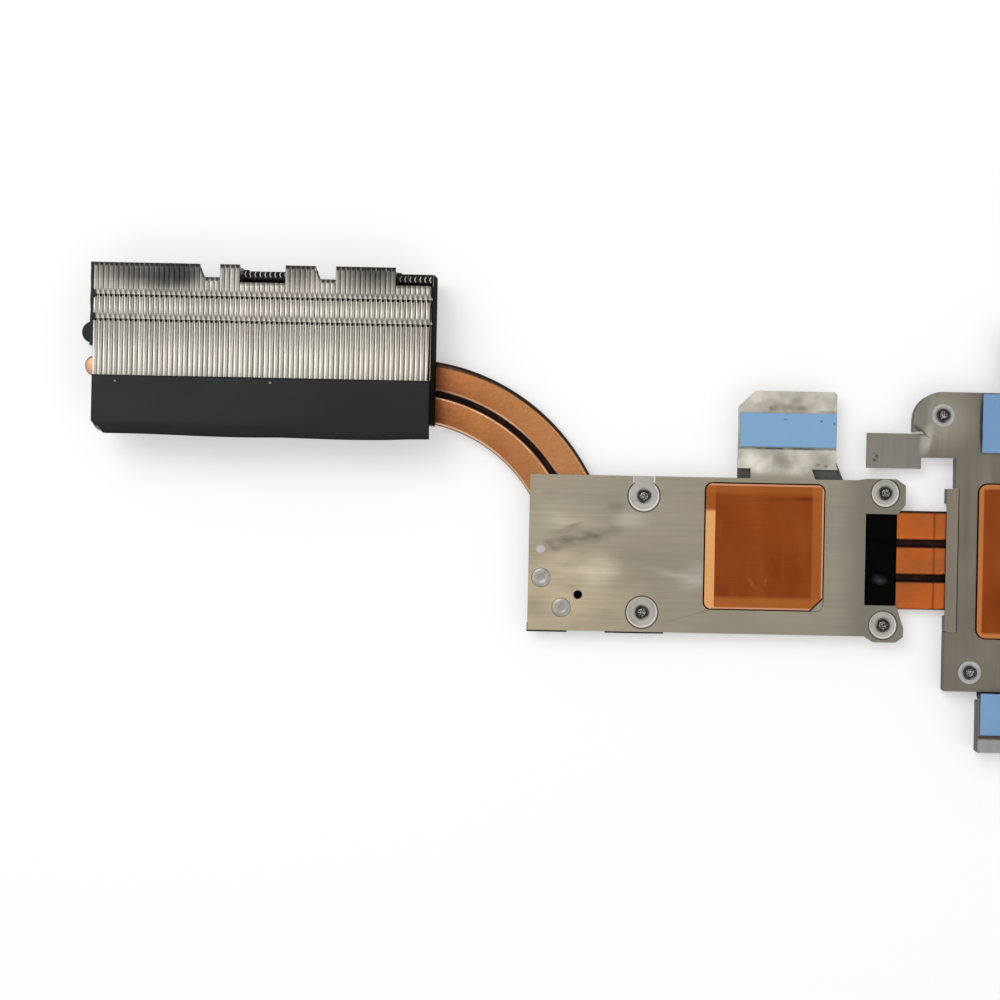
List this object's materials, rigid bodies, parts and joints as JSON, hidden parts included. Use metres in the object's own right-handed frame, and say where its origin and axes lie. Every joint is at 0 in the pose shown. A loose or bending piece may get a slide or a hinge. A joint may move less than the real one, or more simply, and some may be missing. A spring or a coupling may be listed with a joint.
{
  "type": "laptop heatsink",
  "caption": "Laptop heatsink: zipper fin stack joined by flat copper heat pipes to a processor plate and a graphics plate with copper pads, sprung screws and soft pads.",
  "frame": {"origin": "centre of the processor cold plate's contact face", "axes": "+Z out of the contact face, +X from the fin stack to the graphics plate, +Y towards the exhaust edge of the fins"},
  "size_m": [0.3058, 0.1311, 0.0168],
  "materials": {
    "copper_pipe": "satin",
    "copper_pad": "satin",
    "plate_aluminium": "satin",
    "fin_aluminium": "satin",
    "dark_sheet": "matte",
    "black_film": "matte",
    "blue_pad": "matte",
    "screw_steel": "satin",
    "clip_steel": "gloss",
    "washer_nylon": "satin",
    "rivet_aluminium": "satin"
  },
  "bodies": {
    "root": {"heat_pipe_outer": "copper_pipe", "heat_pipe_inner": "copper_pipe", "heat_pipe_short": "copper_pipe", "cpu_cold_plate": "copper_pad", "gpu_cold_plate": "copper_pad", "cpu_plate": "plate_aluminium", "gpu_plate": "plate_aluminium", "pipe_bridge": "plate_aluminium", "gpu_bracket": "plate_aluminium", "fins_full_left": "fin_aluminium", "fins_notch_left": "fin_aluminium", "fins_full_mid_left": "fin_aluminium", "fins_step_mid": "fin_aluminium", "fins_full_mid_right": "fin_aluminium", "fins_notch_right": "fin_aluminium", "fins_full_right": "fin_aluminium", "fins_step_right": "fin_aluminium", "fin_end_plate": "fin_aluminium", "tab_brace": "dark_sheet", "film_top": "black_film", "film_side_right": "black_film", "film_side_left": "black_film", "film_pipe_end": "black_film", "pipe_tape": "black_film", "edge_film": "black_film", "tab_soft_pad": "blue_pad", "gpu_soft_pad": "blue_pad", "bracket_soft_pad": "blue_pad", "cpu_screws": "screw_steel", "gpu_screws": "screw_steel", "cpu_screw_springs": "screw_steel", "gpu_screw_springs": "screw_steel", "cpu_screw_clips": "clip_steel", "gpu_screw_clips": "clip_steel", "gpu_screw_washers": "washer_nylon", "clinch_rivets": "rivet_aluminium"}
  },
  "joints": []
}
